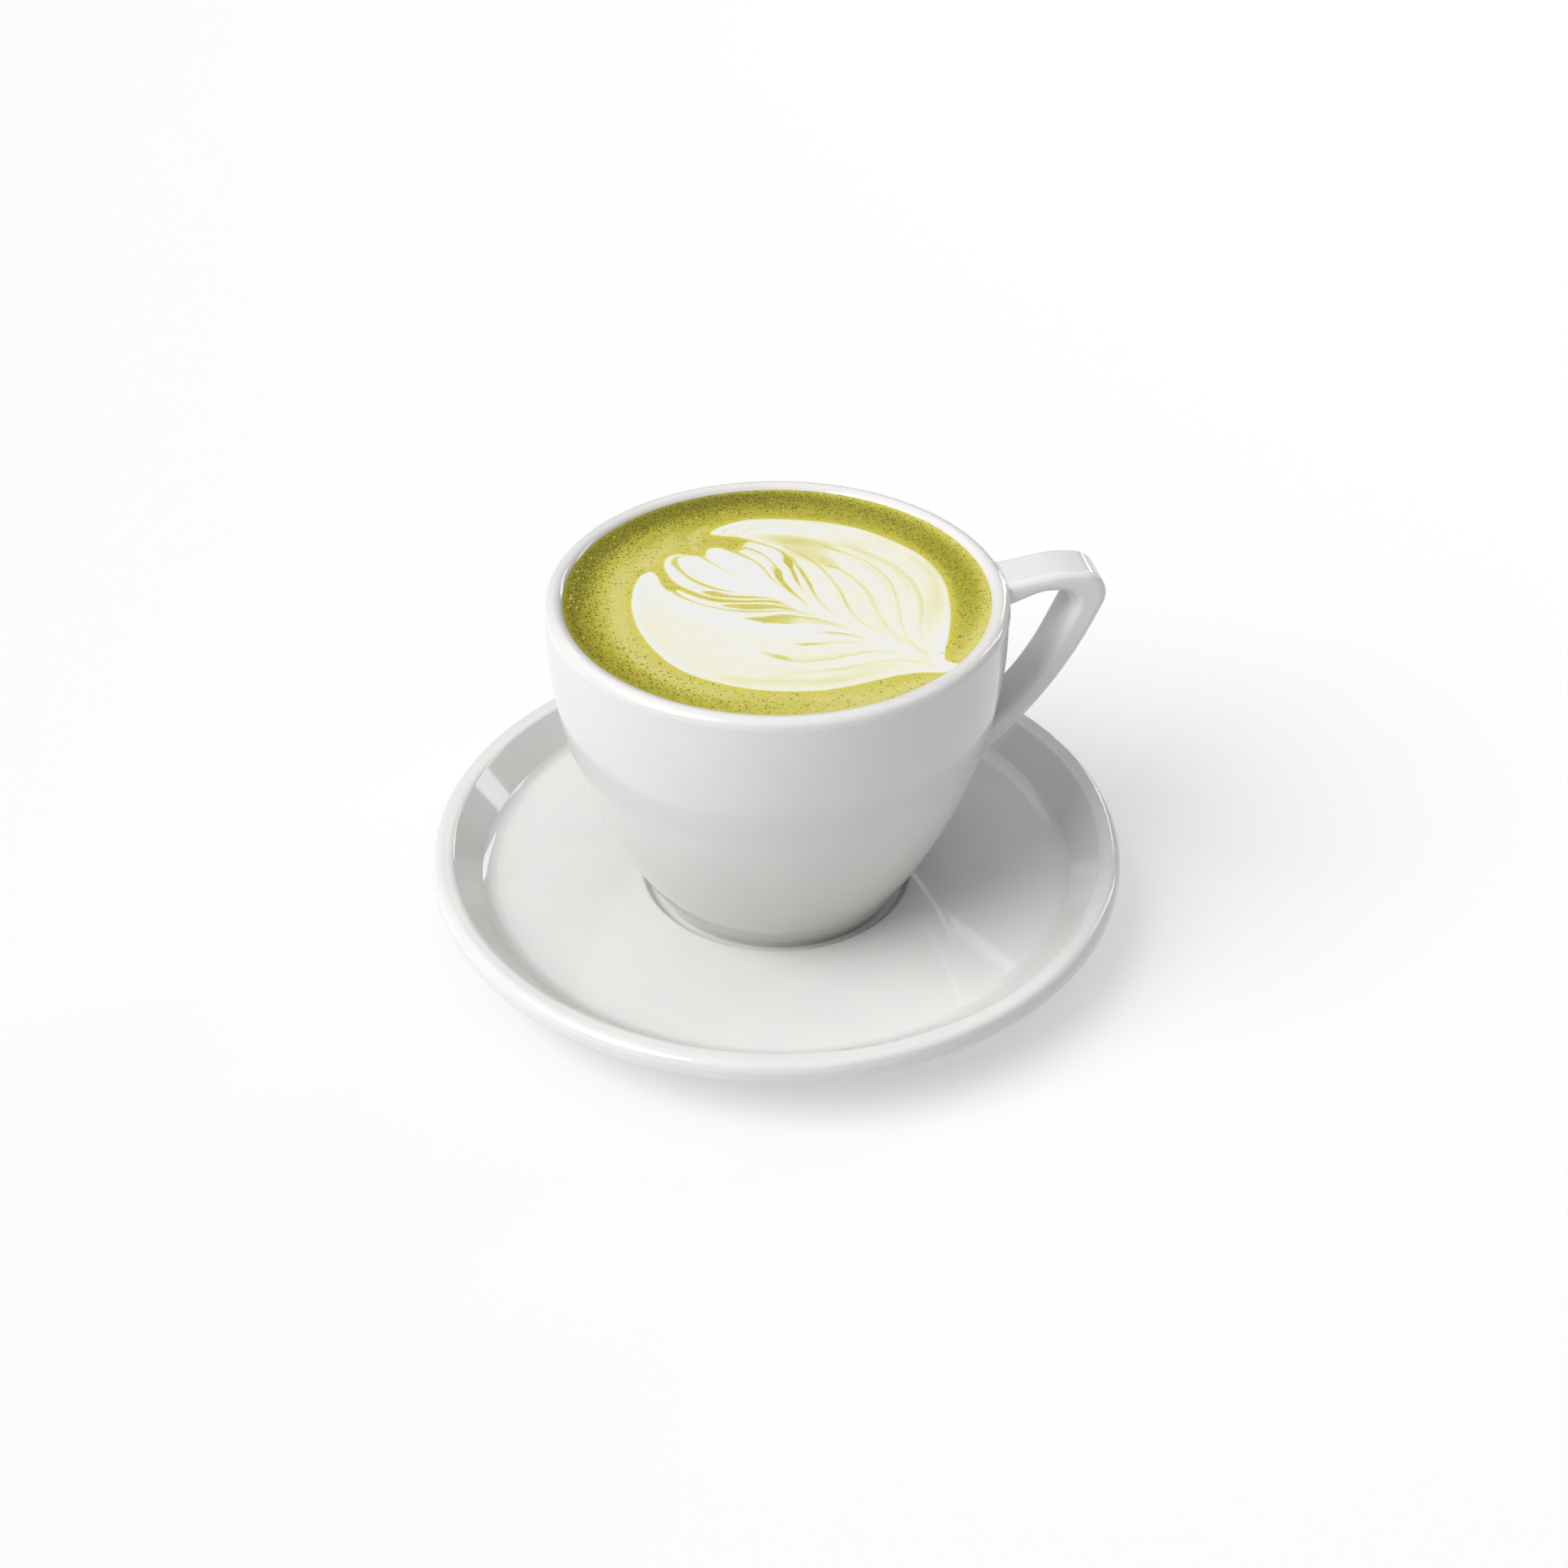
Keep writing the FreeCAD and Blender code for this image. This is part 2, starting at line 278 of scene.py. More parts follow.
HEART = (
    (-20.6, 16.7), (-22.3, 16.1), (-23.5, 14.7), (-23.9, 12.5), (-23.5, 9.9), (-22.5, 7.2),
    (-21.1, 4.7), (-19.2, 2.7), (-16.8, 0.8), (-13.5, -1.0), (-8.0, -2.0), (-2.0, -2.2),
    (4.0, -4.0), (6.0, -2.0), (5.0, 6.0), (4.5, 12.0), (3.0, 16.0), (0.5, 18.8), (-2.5, 20.9),
    (-5.5, 21.9), (-7.0, 21.2), (-7.9, 19.6), (-9.2, 18.4), (-11.2, 19.0), (-13.2, 19.3),
    (-14.6, 18.8), (-15.2, 17.2), (-15.4, 15.7), (-17.0, 16.0), (-19.0, 16.3))

# Veins of matcha between the petals: x, y, width and how much green each point has.
VEINS = (
    # the front petals, from the heart down
    ((-19.5, 15.9, 0.4, 0.4), (-21.2, 15.2, 0.9, 0.55), (-21.7, 13.3, 1.4, 0.8),
     (-20.9, 11.0, 1.1, 0.7), (-19.4, 8.4, 0.8, 0.75), (-17.6, 6.1, 0.9, 0.8),
     (-15.4, 4.2, 1.0, 0.75), (-12.6, 2.5, 0.8, 0.75), (-9.8, 1.5, 0.5, 0.5),
     (-7.0, 0.9, 0.35, 0.25), (-4.5, 0.4, 0.3, 0.1)),
    ((-15.1, 1.3, 0.7, 0.9), (-13.6, 0.8, 1.7, 1.0), (-12.2, 0.2, 1.8, 1.0),
     (-10.0, -0.4, 1.1, 1.0), (-7.0, -0.7, 0.9, 0.9), (-4.0, -0.8, 0.7, 0.75),
     (-1.5, -1.1, 0.5, 0.5), (0.5, -1.9, 0.4, 0.3), (3.0, -3.6, 0.3, 0.15)),
    ((-20.2, 2.9, 1.4, 0.8), (-18.4, 1.4, 1.3, 0.8), (-16.0, -0.2, 1.1, 0.85),
     (-13.2, -1.6, 1.0, 0.9), (-10.4, -2.2, 0.9, 0.95), (-6.5, -2.4, 0.8, 0.95),
     (-3.0, -2.2, 0.8, 0.9), (-0.2, -2.6, 0.9, 0.75), (1.6, -3.6, 0.5, 0.4),
     (3.5, -4.9, 0.4, 0.2)),
    ((-10.9, -4.1, 0.5, 0.9), (-9.4, -4.1, 1.2, 1.0), (-6.5, -4.4, 1.9, 1.0),
     (-3.2, -4.4, 1.9, 1.0), (-0.4, -4.5, 1.2, 0.85), (2.2, -5.2, 0.7, 0.75),
     (5.5, -6.6, 0.5, 0.4), (9.5, -8.5, 0.4, 0.2), (14.0, -11.3, 0.3, 0.1)),
    ((-21.2, 1.2, 0.8, 0.8), (-19.9, -0.4, 0.6, 0.9), (-18.0, -2.0, 0.5, 0.8),
     (-15.0, -3.8, 0.45, 0.65), (-12.0, -5.1, 0.5, 0.65), (-9.0, -5.9, 0.6, 0.7),
     (-5.5, -6.3, 0.9, 0.6), (-2.0, -6.2, 0.9, 0.5), (1.0, -6.0, 0.8, 0.35),
     (4.0, -6.7, 0.6, 0.3), (8.5, -8.9, 0.5, 0.2)),
    ((-6.3, -8.9, 0.5, 0.7), (-4.4, -9.1, 1.4, 0.9), (-2.2, -9.4, 2.1, 0.95),
     (0.2, -9.1, 2.5, 0.75), (2.2, -9.2, 2.1, 0.6), (3.6, -9.1, 1.4, 0.3)),
    ((-2.5, -8.4, 0.5, 0.7), (0.0, -7.9, 0.7, 0.9), (2.0, -7.8, 0.7, 0.85),
     (5.0, -8.4, 0.6, 0.7), (8.0, -9.2, 0.6, 0.55), (11.0, -10.5, 0.6, 0.4),
     (14.0, -12.3, 0.5, 0.25), (18.0, -14.9, 0.4, 0.12)),
    ((-2.6, -10.3, 0.6, 0.9), (-0.5, -10.4, 0.6, 0.75), (2.3, -10.7, 0.5, 0.8),
     (4.5, -10.3, 0.6, 0.3), (8.0, -10.6, 0.7, 0.3), (11.5, -11.4, 0.7, 0.25),
     (14.5, -12.9, 0.5, 0.15)),
    ((8.0, -14.3, 0.4, 0.2), (10.0, -14.2, 0.6, 0.6), (12.5, -14.5, 0.7, 0.75),
     (15.0, -15.2, 0.5, 0.7), (18.0, -16.5, 0.4, 0.35), (21.5, -18.3, 0.3, 0.15)),
    ((3.4, -18.4, 0.5, 0.15), (4.9, -18.6, 0.8, 0.6), (6.4, -18.5, 0.8, 0.7),
     (8.6, -18.2, 0.7, 0.5), (11.5, -17.8, 0.7, 0.25), (15.5, -17.8, 0.8, 0.2),
     (20.0, -19.0, 0.6, 0.12)),
    ((-3.0, -21.6, 0.8, 0.25), (-0.8, -22.6, 1.4, 0.5), (1.4, -23.6, 1.5, 0.6),
     (3.2, -24.6, 0.7, 0.4), (6.0, -24.8, 0.7, 0.35), (10.0, -24.0, 0.7, 0.35),
     (14.0, -22.7, 0.8, 0.3), (17.5, -21.4, 0.9, 0.3), (21.0, -21.1, 0.8, 0.28),
     (25.0, -22.1, 0.6, 0.15), (30.0, -24.5, 0.4, 0.08)),
    ((-3.0, -28.0, 0.8, 0.1), (2.6, -28.8, 0.9, 0.25), (8.0, -28.4, 1.1, 0.22),
     (12.5, -27.4, 1.2, 0.28), (16.5, -26.0, 1.0, 0.22), (20.5, -24.6, 0.9, 0.22),
     (24.5, -24.2, 0.8, 0.18), (29.0, -25.4, 0.6, 0.15), (33.0, -27.0, 0.4, 0.2)),
    # the heart's fold and its right edge
    ((-16.2, 15.7, 1.0, 0.45), (-15.0, 14.3, 1.0, 0.5), (-13.6, 12.7, 0.8, 0.42),
     (-11.8, 10.8, 0.7, 0.4), (-9.8, 9.0, 0.45, 0.25), (-7.2, 7.0, 0.35, 0.16),
     (-4.0, 4.7, 0.3, 0.08)),
    ((-11.2, 19.0, 0.7, 0.8), (-9.0, 17.5, 0.9, 0.75), (-6.6, 15.5, 0.75, 0.7),
     (-4.6, 13.5, 0.65, 0.6), (-3.0, 11.0, 0.6, 0.62), (-1.9, 8.4, 0.5, 0.62),
     (-0.9, 6.2, 0.5, 0.5), (0.6, 4.0, 0.45, 0.4), (2.3, 1.9, 0.4, 0.3),
     (4.5, -0.6, 0.4, 0.15)),
    # the back petals, from the heart outwards
    ((-8.6, 18.0, 0.9, 0.5), (-7.6, 19.0, 0.9, 0.65), (-6.0, 18.9, 0.8, 0.7),
     (-4.2, 17.6, 0.7, 0.7), (-2.4, 15.6, 0.65, 0.55), (-1.0, 13.2, 0.6, 0.5),
     (-0.2, 11.2, 0.7, 0.7), (0.2, 9.2, 1.5, 0.95), (0.5, 7.2, 1.4, 1.0),
     (1.2, 5.0, 1.0, 0.9), (2.2, 3.0, 0.9, 0.85), (3.4, 0.8, 0.7, 0.6),
     (4.9, -1.6, 0.6, 0.4), (7.4, -4.9, 0.5, 0.22), (11.0, -8.7, 0.4, 0.1)),
    ((-1.6, 12.6, 0.5, 0.15), (-0.9, 10.8, 0.8, 0.4), (-0.4, 9.0, 0.8, 0.5),
     (0.1, 6.6, 0.5, 0.3)),
    ((-14.3, 24.2, 0.6, 0.7), (-11.0, 23.7, 0.9, 0.5), (-8.0, 23.1, 0.9, 0.45),
     (-5.4, 22.1, 0.8, 0.6), (-2.6, 20.5, 0.7, 0.65), (-0.4, 19.0, 0.6, 0.65),
     (1.2, 17.2, 0.8, 0.75), (1.9, 15.4, 1.3, 0.85), (2.2, 14.0, 1.9, 0.95),
     (2.6, 12.4, 1.5, 1.0), (3.0, 10.6, 0.8, 0.9), (3.5, 8.6, 0.9, 0.85),
     (4.0, 6.4, 0.8, 0.9), (4.5, 4.6, 0.5, 0.75), (5.2, 2.4, 0.4, 0.5),
     (6.1, 0.2, 0.4, 0.35), (7.4, -2.4, 0.3, 0.15)),
    ((2.4, 16.6, 0.5, 0.3), (3.4, 14.6, 0.6, 0.45), (4.0, 12.6, 0.6, 0.6),
     (4.8, 10.6, 0.8, 0.75), (5.4, 8.6, 0.9, 0.8), (6.1, 6.4, 0.9, 0.75),
     (6.8, 4.2, 0.9, 0.85), (7.3, 2.0, 0.7, 0.7), (8.0, -0.4, 0.55, 0.6),
     (9.0, -2.9, 0.5, 0.55), (10.3, -5.3, 0.45, 0.5), (12.2, -7.7, 0.4, 0.38),
     (14.8, -10.4, 0.4, 0.25), (18.0, -13.6, 0.3, 0.12)),
    ((1.5, 20.0, 0.8, 0.3), (3.6, 18.0, 0.7, 0.35), (6.4, 15.1, 0.6, 0.5),
     (8.4, 12.3, 0.6, 0.5), (10.1, 9.2, 0.65, 0.5), (11.5, 6.0, 0.55, 0.42),
     (12.6, 3.0, 0.5, 0.5), (13.5, 0.0, 0.55, 0.55), (14.1, -3.0, 0.5, 0.6),
     (15.1, -6.2, 0.45, 0.45), (16.7, -9.7, 0.4, 0.42), (18.7, -12.5, 0.4, 0.3),
     (21.5, -15.5, 0.3, 0.12)),
    ((10.8, 11.8, 0.6, 0.45), (12.4, 11.3, 0.8, 0.5), (14.4, 8.9, 0.7, 0.45),
     (16.4, 5.9, 0.6, 0.4), (18.0, 2.8, 0.6, 0.4), (19.0, 0.0, 0.7, 0.3),
     (19.8, -4.0, 0.9, 0.25), (20.7, -7.6, 0.8, 0.22), (21.8, -11.0, 0.7, 0.25),
     (23.3, -14.5, 0.5, 0.2), (25.6, -18.2, 0.4, 0.1)),
    ((10.0, 20.2, 0.9, 0.45), (12.6, 18.3, 0.9, 0.5), (15.2, 16.7, 0.8, 0.42),
     (17.7, 14.7, 0.7, 0.38), (20.2, 11.8, 0.7, 0.4), (22.2, 8.6, 0.7, 0.4),
     (23.6, 5.2, 0.7, 0.42), (24.4, 1.4, 0.8, 0.35), (24.8, -2.6, 1.0, 0.25),
     (25.0, -7.0, 0.9, 0.24), (25.3, -11.6, 0.7, 0.22), (26.1, -15.8, 0.5, 0.25),
     (27.9, -19.6, 0.4, 0.22), (30.6, -23.2, 0.3, 0.12)),
    ((13.5, 21.4, 1.0, 0.16), (17.0, 18.8, 1.2, 0.24), (20.6, 16.0, 1.3, 0.24),
     (24.0, 12.6, 1.4, 0.26), (26.6, 8.6, 1.3, 0.28), (28.4, 4.4, 1.3, 0.28),
     (29.3, 0.0, 1.4, 0.26), (29.5, -4.6, 1.2, 0.24), (29.1, -9.0, 0.8, 0.18),
     (28.9, -14.0, 0.6, 0.16), (29.4, -18.6, 0.5, 0.14), (31.0, -22.6, 0.4, 0.1)),
    ((-4.6, 29.4, 0.5, 0.12), (-8.0, 28.6, 0.7, 0.22), (-10.6, 27.4, 0.8, 0.3),
     (-11.5, 26.2, 0.8, 0.32), (-10.4, 25.3, 0.6, 0.25), (-7.4, 24.9, 0.5, 0.1)),
    ((4.0, 28.2, 0.9, 0.15), (-1.0, 28.3, 0.7, 0.22), (-4.8, 27.7, 0.7, 0.25),
     (-7.0, 26.5, 0.8, 0.28), (-6.4, 25.0, 0.6, 0.2), (-3.4, 23.4, 0.6, 0.15)),
)

# Cloudy stains where matcha shows through the milk: x, y, half length, half width, turn, amount.
STAINS = (
    (1.5, 22.6, 5.5, 2.2, -6, 0.42), (7.5, 21.4, 6.0, 2.0, -18, 0.42),
    (3.5, 19.0, 4.5, 2.6, -50, 0.30), (7.5, 16.6, 4.6, 3.4, -52, 0.38),
    (10.5, 13.2, 3.2, 1.8, -50, 0.34), (-8.8, 21.4, 3.4, 2.2, -70, 0.50),
    (-9.6, 23.0, 2.4, 1.0, -10, 0.25), (10.0, 30.0, 13.0, 1.6, -10, 0.22),
    (22.5, 23.2, 6.5, 2.2, -42, 0.22), (16.0, 21.5, 6.0, 1.6, -32, 0.16),
    (30.5, 13.0, 7.0, 2.4, -62, 0.22), (33.0, 1.0, 9.0, 2.2, -86, 0.26),
    (31.0, -8.0, 7.0, 2.4, -92, 0.18), (26.5, 5.0, 7.0, 1.4, -72, 0.10),
    (18.5, 16.5, 5.0, 1.3, -44, 0.14), (-2.0, 24.4, 3.0, 1.0, -8, 0.20),
    (0.0, -32.2, 15.0, 2.6, 0, 0.24), (15.0, -30.2, 9.0, 2.0, 18, 0.22),
    (-13.0, -28.0, 8.0, 2.2, -34, 0.12), (-24.0, -15.0, 8.0, 2.0, -62, 0.10),
    (6.0, -23.4, 6.0, 1.2, 2, 0.18), (14.0, -21.8, 5.0, 1.0, 16, 0.14),
    (10.0, -18.7, 6.0, 0.9, 3, 0.12), (20.0, -26.2, 7.0, 1.3, 16, 0.12),
    (4.5, -9.4, 4.0, 1.1, -8, 0.22), (9.0, -10.2, 4.0, 0.8, -22, 0.14),
    (1.0, -3.6, 3.0, 0.9, -30, 0.18), (-18.4, 15.9, 2.6, 0.5, -6, 0.30),
    (2.2, 3.4, 3.2, 0.7, -62, 0.24), (4.2, -0.2, 3.6, 0.8, -58, 0.20),
    (6.5, 9.0, 4.0, 0.7, -78, 0.10), (28.0, -24.4, 6.0, 1.8, -40, 0.06),
    (3.5, 13.0, 3.0, 0.8, -75, 0.14),
)

# Edges between which the milk keeps faint lines of its flow, down to the stem.
FLOWS = (
    (((-28.6, 4), (-28.6, -4), (-27, -12), (-22.5, -21.5), (-15, -29), (-5, -33), (8, -33),
      (20, -29.5), (31, -27.6)),
     ((-23.4, 1), (-22.4, -3.5), (-19, -8.5), (-13, -12), (-5, -14.5), (4, -15.8), (13, -17),
      (22, -20.5), (31, -25.2)), 15),
    (((-9, 28.8), (0, 30.3), (10, 29), (19, 25), (27, 18), (32.5, 9), (34, -2), (33.2, -14),
      (32, -23)),
     ((11, 17.4), (13.5, 16), (16.5, 13), (19.2, 9.5), (21, 6), (22, 2), (22.8, -4), (24.4, -11),
      (29, -21)), 13),
    (((12, 16.5), (15, 13), (18, 8.5), (20.5, 3), (22, -4), (24.5, -13), (30, -22.5)),
     ((5, 13), (7.5, 8), (9.5, 3), (11, -2), (14, -7.5), (20, -14), (31, -24.5)), 10),
)
FLOW_SEED = 7

# Paler trails that the pour left in the matcha: x, y, half width and how pale.
TRAILS = (
    ((-14.5, 29.0, 1.2, 0.08), (-17.2, 25.0, 1.3, 0.22), (-18.0, 21.0, 1.3, 0.26),
     (-16.8, 17.4, 0.9, 0.24), (-15.6, 15.4, 0.6, 0.20)),
    ((-30.0, 22.0, 2.0, 0.05), (-33.0, 12.0, 2.2, 0.16), (-33.6, 2.0, 2.2, 0.20),
     (-33.0, -7.0, 2.2, 0.24), (-31.0, -16.0, 2.2, 0.24), (-26.5, -25.0, 2.0, 0.20),
     (-19.0, -32.5, 2.0, 0.16), (-10.0, -37.0, 1.8, 0.08)),
    ((-24.0, 27.0, 2.0, 0.08), (-23.0, 20.0, 2.6, 0.14), (-27.0, 13.0, 2.4, 0.14)),
    ((8.0, -38.5, 1.4, 0.10), (18.0, -36.5, 1.4, 0.12), (27.0, -32.0, 1.2, 0.10)),
    ((-12.0, 33.5, 1.4, 0.14), (-4.0, 35.0, 1.4, 0.10), (6.0, 34.6, 1.2, 0.06)),
)

# Rings of darker or paler foam: amount, where the ring starts and is full, the side of the cup
# it faces, in degrees, and how sharply it keeps to that side. The two dark rings facing 165
# degrees are partly deeper matcha and partly painted shade of the brim; the pale ring from 40.5
# to 43.6 mm facing 15 degrees is painted light bounced off the wall.
TONE_LIGHT_AND_SHADE_RINGS = (
    (0.30, 31, 36, 165, 1.5), (0.66, 36, 42.5, 165, 1.3), (0.26, 35, 37.5, 0, 4),
    (-0.10, 30, 36, -90, 2), (-0.42, 40.5, 43.6, 15, 1.5), (-0.30, 43.0, 43.9, 165, 1),
)
BASE_TONE = 0.12
FAR_TONE = 0.33       # how much darker the far side is, where the pour began
FROTHY_SIDE = 130     # the side of the cup where open bubbles gathered, in degrees

# What each point of the drink's mesh says to its material.
POURED = ("milk", "tone_light_and_shade", "froth", "halo", "wet")

# Groups of standing bubbles: middle and spread of the angle, in degrees, mean distance from
# the wall and its scatter, in mm, and how many there are.
BUBBLES = (
    (178, 16, 1.7, 0.8, 70), (160, 40, 3.4, 1.8, 90), (95, 30, 6.5, 2.2, 70),
    (40, 30, 6.0, 2.4, 60), (0, 25, 5.5, 2.0, 50), (235, 30, 3.0, 1.4, 50),
)
BUBBLE_SEED = 11


def flow_lines():
    """Faint lines of tinted milk that follow the pour, each a little off the even spacing."""
    chance = np.random.default_rng(FLOW_SEED)
    for first, last, count in FLOWS:
        first, last = np.array(first, float), np.array(last, float)
        for i in range(count):
            share = (i + chance.uniform(0.2, 0.8)) / count
            along = np.linspace(0, 1, len(first))[:, None]
            drift = along * chance.uniform(-0.05, 0.05)
            run = first + (last - first) * (share + drift * (1 - along))
            width = chance.uniform(0.4, 1.3)
            green = chance.uniform(0.05, 0.16)
            taper = np.sin(np.linspace(0.25, np.pi - 0.35, len(run)))
            yield np.column_stack([run, 0.3 + width * taper, green * taper])


def lay_vein(milk, spots, points, edge=0.2, bleed=0.10):
    """Thin the milk along one vein, which bleeds a little into the foam beside it."""
    line = spline(points)
    margin = 3.0                                       # mm, beyond the widest vein
    low, high = line[:, :2].min(0) - margin, line[:, :2].max(0) + margin
    close = np.all((spots > low) & (spots < high), axis=1)
    distance, values, _ = nearest_on(line, spots[close])
    half, green = values[:, 0] / 2, np.clip(values[:, 1], 0, 1)
    cover = green * (1 - smooth_step(half - edge, half + edge, distance))
    spread = 0.7                                       # mm
    cover = np.maximum(cover, green * bleed * np.exp(-np.maximum(distance - half, 0) / spread))
    milk[close] *= 1 - cover


def pour_pattern(spots):
    """Milk from 0 to 1 at each spot, and how far inside the milk's outline it is."""
    depth = np.full(len(spots), -np.inf)
    for lobe in (FRONT_LOBE, BACK_LOBE, HEART):
        outline = spline(lobe, closed=True)
        distance, _, _ = nearest_on(np.vstack([outline, outline[:1]]), spots)
        depth = np.maximum(depth, np.where(inside(outline, spots), distance, -distance))
    milk = smooth_step(-0.35, 0.4, depth)
    for x, y, long, wide, turn, amount in STAINS:
        turn = math.radians(turn)
        off = spots - (x, y)
        along = (off @ (math.cos(turn), math.sin(turn))) / long
        across = (off @ (-math.sin(turn), math.cos(turn))) / wide
        milk *= 1 - amount * np.exp(-(along ** 2 + across ** 2) ** 1.5)
    for points in VEINS:
        lay_vein(milk, spots, points)
    for points in flow_lines():
        lay_vein(milk, spots, points, edge=0.35, bleed=0.0)
    return milk, depth


def shade_foam(spots, depth):
    """How deep the matcha's colour is at each spot, how thick its open bubbles lie, and how
    much brighter it is beside the milk. The depth of colour carries painted shade at the left
    and back wall and painted light at the right wall."""
    reach = np.hypot(spots[:, 0], spots[:, 1])
    angle = np.arctan2(spots[:, 1], spots[:, 0])

    def facing(degrees):
        return 0.5 + 0.5 * np.cos(angle - math.radians(degrees))

    tone_light_and_shade = BASE_TONE + FAR_TONE * smooth_step(-8, 34, spots @ (0.45, 0.89))
    # painted shade at the left and back wall and painted light at the right wall go into the colour
    # here, with the real rings of tone
    for amount, start, full, side, keep in TONE_LIGHT_AND_SHADE_RINGS:
        tone_light_and_shade += amount * smooth_step(start, full, reach) * facing(side) ** keep
    for points in TRAILS:
        distance, values, _ = nearest_on(spline(points), spots)
        tone_light_and_shade -= values[:, 1] * np.exp(-(distance / values[:, 0]) ** 2)
    froth = smooth_step(31, 39, reach) * (0.18 + 0.64 * facing(FROTHY_SIDE))
    froth *= 1 - 0.8 * smooth_step(42.8, 43.8, reach)
    froth = np.maximum(froth, 0.16 * (depth < 0))
    halo = 0.75 * (1 - smooth_step(0.2, 2.4, -depth)) * (depth < 0)
    return np.clip(tone_light_and_shade, 0, 1), froth, halo


# ---------------------------------------------------------------- materials

def glazed_porcelain(name, foot):
    """Porcelain, slip cast, dipped in clear white glaze and fired; its foot is wiped bare.

    The eye gets a clean white with sharp reflections that waver where the glaze flowed, a
    little grey where it pooled, and a dull, warmer ring under the foot.
    """
    settings = bpy.context.scene.latte_porcelain
    material, tree, shader = new_material(name)
    where = add_node(tree, "ShaderNodeTexCoord").outputs["Object"]
    apart = add_node(tree, "ShaderNodeSeparateXYZ", {"Vector": where})
    bare = add_node(tree, "ShaderNodeMapRange", {
        "Value": apart.outputs["Z"], "From Min": foot + 0.15 * MM, "From Max": foot + 0.45 * MM,
        "To Min": 1.0, "To Max": 0.0})
    cloud = add_node(tree, "ShaderNodeTexNoise", {
        "Vector": where, "Scale": 1 / (14 * MM), "Detail": 3.0, "Roughness": 0.55})
    pooled = add_node(tree, "ShaderNodeMapRange", {
        "Value": cloud.outputs["Fac"], "From Min": 0.35, "From Max": 0.75, "To Max": 0.6})
    body = add_node(tree, "ShaderNodeMix", {
        "Factor": pooled.outputs["Result"], "A": (*settings.glaze, 1),
        "B": (*settings.pooled, 1)}, data_type="RGBA")
    colour = add_node(tree, "ShaderNodeMix", {
        "Factor": bare.outputs["Result"], "A": body.outputs["Result"],
        "B": (*settings.biscuit, 1)}, data_type="RGBA")
    rough = add_node(tree, "ShaderNodeMapRange", {
        "Value": bare.outputs["Result"], "To Min": settings.gloss, "To Max": 0.75})
    waves = add_node(tree, "ShaderNodeTexNoise", {
        "Vector": where, "Scale": 1 / (settings.wave * MM), "Detail": 1.0})
    grit = add_node(tree, "ShaderNodeTexNoise", {
        "Vector": where, "Scale": 1 / (0.25 * MM), "Detail": 2.0})
    relief = add_node(tree, "ShaderNodeBump", {
        "Height": waves.outputs["Fac"], "Strength": 0.10, "Distance": 0.06 * MM})
    grain = add_node(tree, "ShaderNodeMath", {
        0: grit.outputs["Fac"], 1: bare.outputs["Result"]}, operation="MULTIPLY")
    biscuit = add_node(tree, "ShaderNodeBump", {
        "Height": grain.outputs[0], "Normal": relief.outputs["Normal"], "Strength": 0.5,
        "Distance": 0.05 * MM})
    tree.links.new(colour.outputs["Result"], shader.inputs["Base Color"])
    tree.links.new(rough.outputs["Result"], shader.inputs["Roughness"])
    tree.links.new(biscuit.outputs["Normal"], shader.inputs["Normal"])
    shader.inputs["IOR"].default_value = 1.5           # feldspar glaze
    return material


